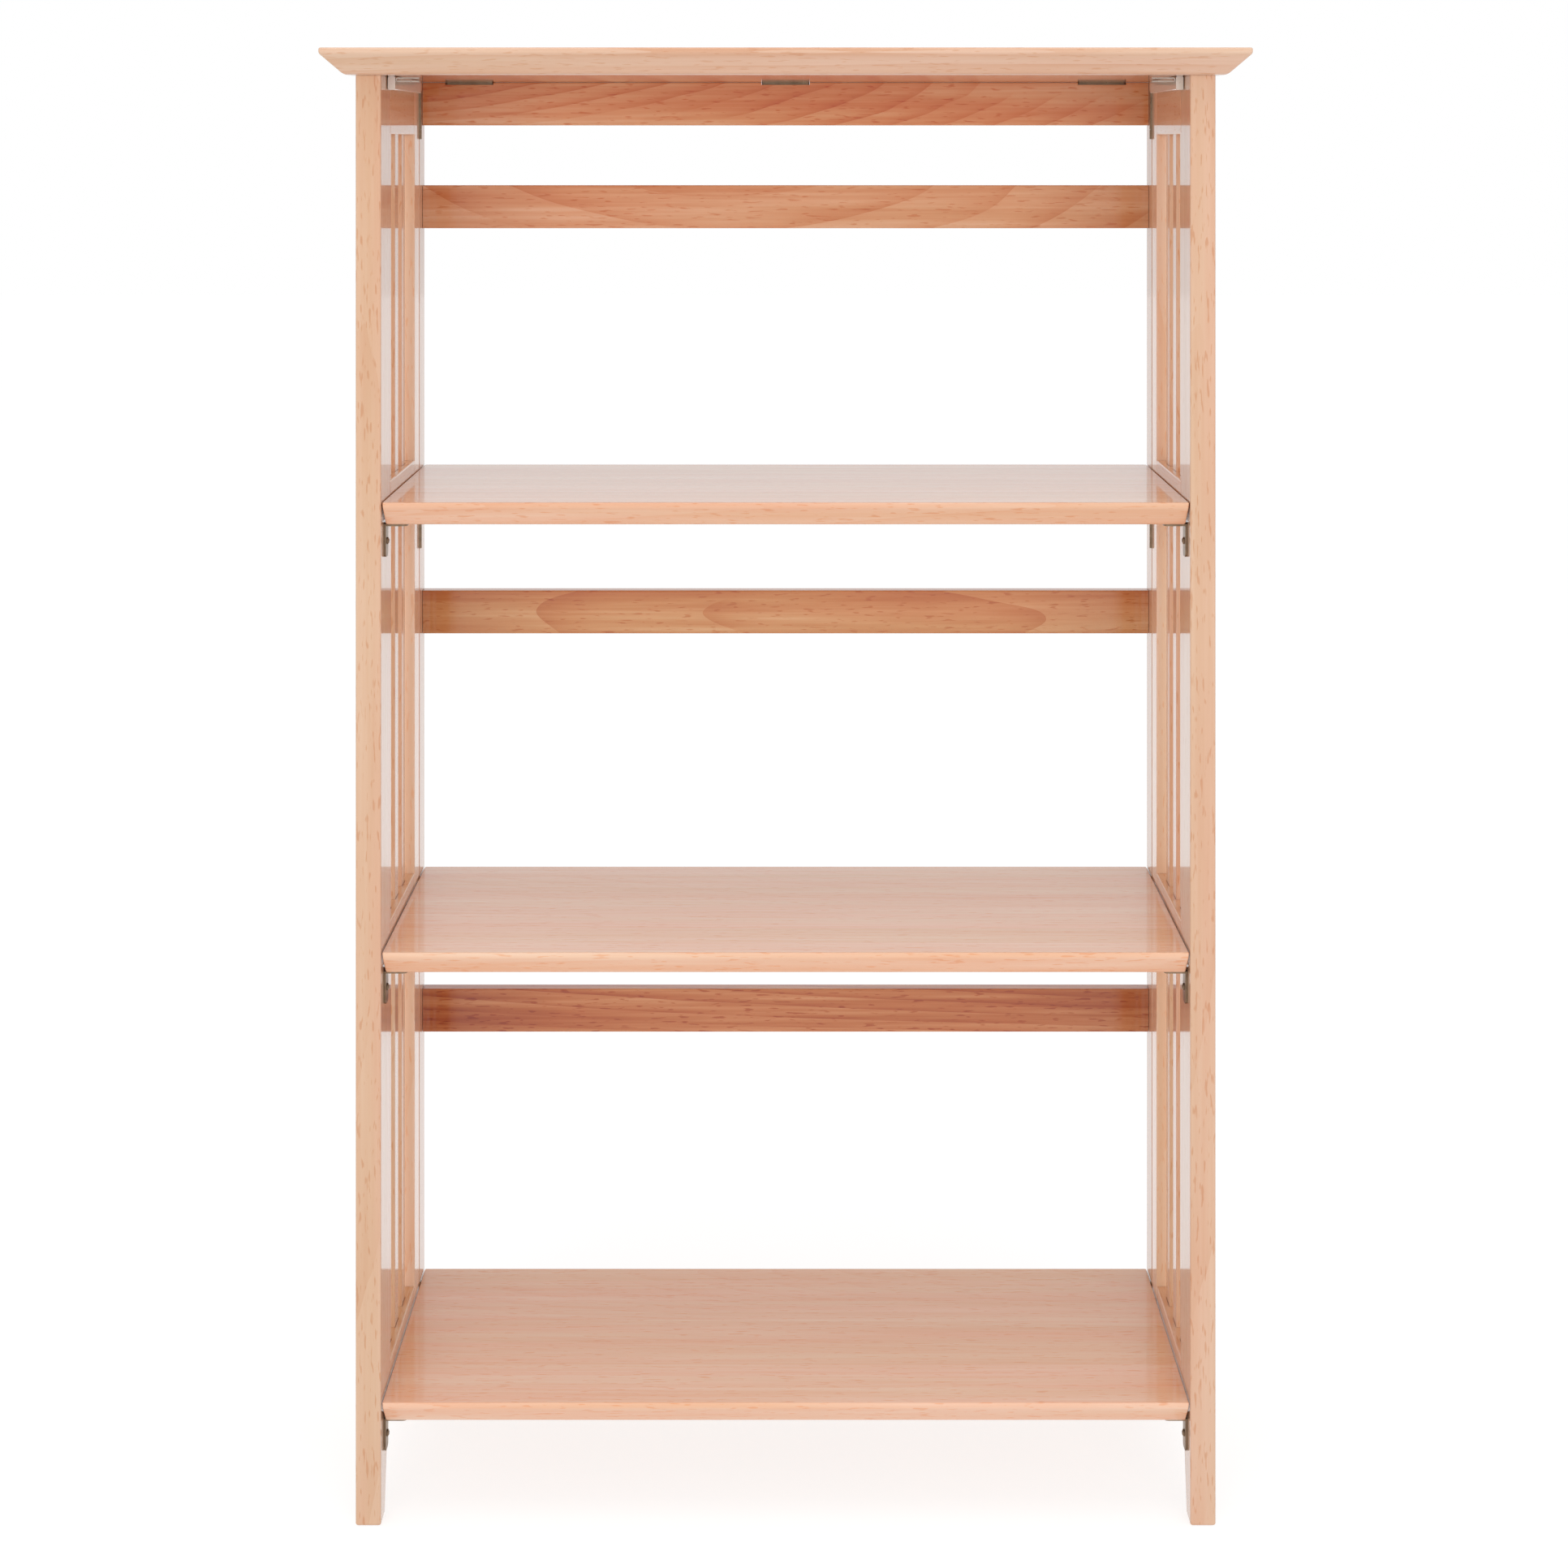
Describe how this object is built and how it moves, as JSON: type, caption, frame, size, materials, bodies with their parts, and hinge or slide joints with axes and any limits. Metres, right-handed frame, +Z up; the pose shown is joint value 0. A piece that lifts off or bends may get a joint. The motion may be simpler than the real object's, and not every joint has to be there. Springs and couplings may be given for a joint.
{
  "type": "folding bookcase",
  "caption": "Free-standing folding bookcase in light wood: lift-up top, pivoting shelves on brackets, slatted side frames hinged to a back frame, slim tapered feet.",
  "frame": {"origin": "on the floor, under the middle of the bookcase's bounding box", "axes": "+X to the right seen from the front, +Y to the back, +Z up"},
  "size_m": [0.872, 0.335, 1.3951],
  "materials": {
    "pale_wood": "light natural hardwood, semi-gloss clear lacquer",
    "shelf_wood": "light natural hardwood in glued staves, semi-gloss clear lacquer",
    "rail_wood": "warm natural hardwood, semi-gloss clear lacquer",
    "steel": "plated steel"
  },
  "bodies": {
    "frame": {"left_front_stile": "pale_wood", "left_rear_stile": "pale_wood", "left_back_post": "pale_wood", "left_lower_side_rail": "pale_wood", "left_middle_side_rail": "pale_wood", "left_upper_side_rail": "pale_wood", "left_top_side_rail": "pale_wood", "left_slat_1": "pale_wood", "left_slat_2": "pale_wood", "left_slat_3": "pale_wood", "left_lower_bracket": "steel", "left_middle_bracket": "steel", "left_upper_bracket": "steel", "left_top_fold_hinge_stile_leaf": "steel", "left_top_fold_hinge_post_leaf": "steel", "left_upper_fold_hinge_stile_leaf": "steel", "left_upper_fold_hinge_post_leaf": "steel", "left_middle_fold_hinge_stile_leaf": "steel", "left_middle_fold_hinge_post_leaf": "steel", "right_front_stile": "pale_wood", "right_rear_stile": "pale_wood", "right_back_post": "pale_wood", "right_lower_side_rail": "pale_wood", "right_middle_side_rail": "pale_wood", "right_upper_side_rail": "pale_wood", "right_top_side_rail": "pale_wood", "right_slat_1": "pale_wood", "right_slat_2": "pale_wood", "right_slat_3": "pale_wood", "right_lower_bracket": "steel", "right_middle_bracket": "steel", "right_upper_bracket": "steel", "right_top_fold_hinge_stile_leaf": "steel", "right_top_fold_hinge_post_leaf": "steel", "right_upper_fold_hinge_stile_leaf": "steel", "right_upper_fold_hinge_post_leaf": "steel", "right_middle_fold_hinge_stile_leaf": "steel", "right_middle_fold_hinge_post_leaf": "steel", "lower_back_rail": "rail_wood", "middle_back_rail": "rail_wood", "upper_back_rail": "rail_wood", "top_back_rail": "rail_wood", "left_lift_hinge_rail_leaf": "steel", "middle_lift_hinge_rail_leaf": "steel", "right_lift_hinge_rail_leaf": "steel"},
    "top": {"top_board": "pale_wood", "left_cleat": "rail_wood", "right_cleat": "rail_wood", "left_lift_hinge_top_leaf": "steel", "middle_lift_hinge_top_leaf": "steel", "right_lift_hinge_top_leaf": "steel"},
    "upper_shelf": {"upper_shelf": "shelf_wood", "left_upper_shelf_pin": "steel", "right_upper_shelf_pin": "steel"},
    "middle_shelf": {"middle_shelf": "shelf_wood", "left_middle_shelf_pin": "steel", "right_middle_shelf_pin": "steel"},
    "lower_shelf": {"lower_shelf": "shelf_wood", "left_lower_shelf_pin": "steel", "right_lower_shelf_pin": "steel"}
  },
  "joints": [
    {"name": "top_lift", "type": "hinge", "parent": "frame", "child": "top", "pos_m": [0, 0.16515, 1.36865], "axis": [-1, 0, 0], "range_deg": [0, 90]},
    {"name": "upper_shelf_lift", "type": "hinge", "parent": "frame", "child": "upper_shelf", "pos_m": [0, 0.13915, 0.9592], "axis": [-1, 0, 0], "range_deg": [0, 90]},
    {"name": "middle_shelf_lift", "type": "hinge", "parent": "frame", "child": "middle_shelf", "pos_m": [0, 0.13915, 0.534], "axis": [-1, 0, 0], "range_deg": [0, 90]},
    {"name": "lower_shelf_lift", "type": "hinge", "parent": "frame", "child": "lower_shelf", "pos_m": [0, 0.13915, 0.1088], "axis": [-1, 0, 0], "range_deg": [0, 90]}
  ]
}
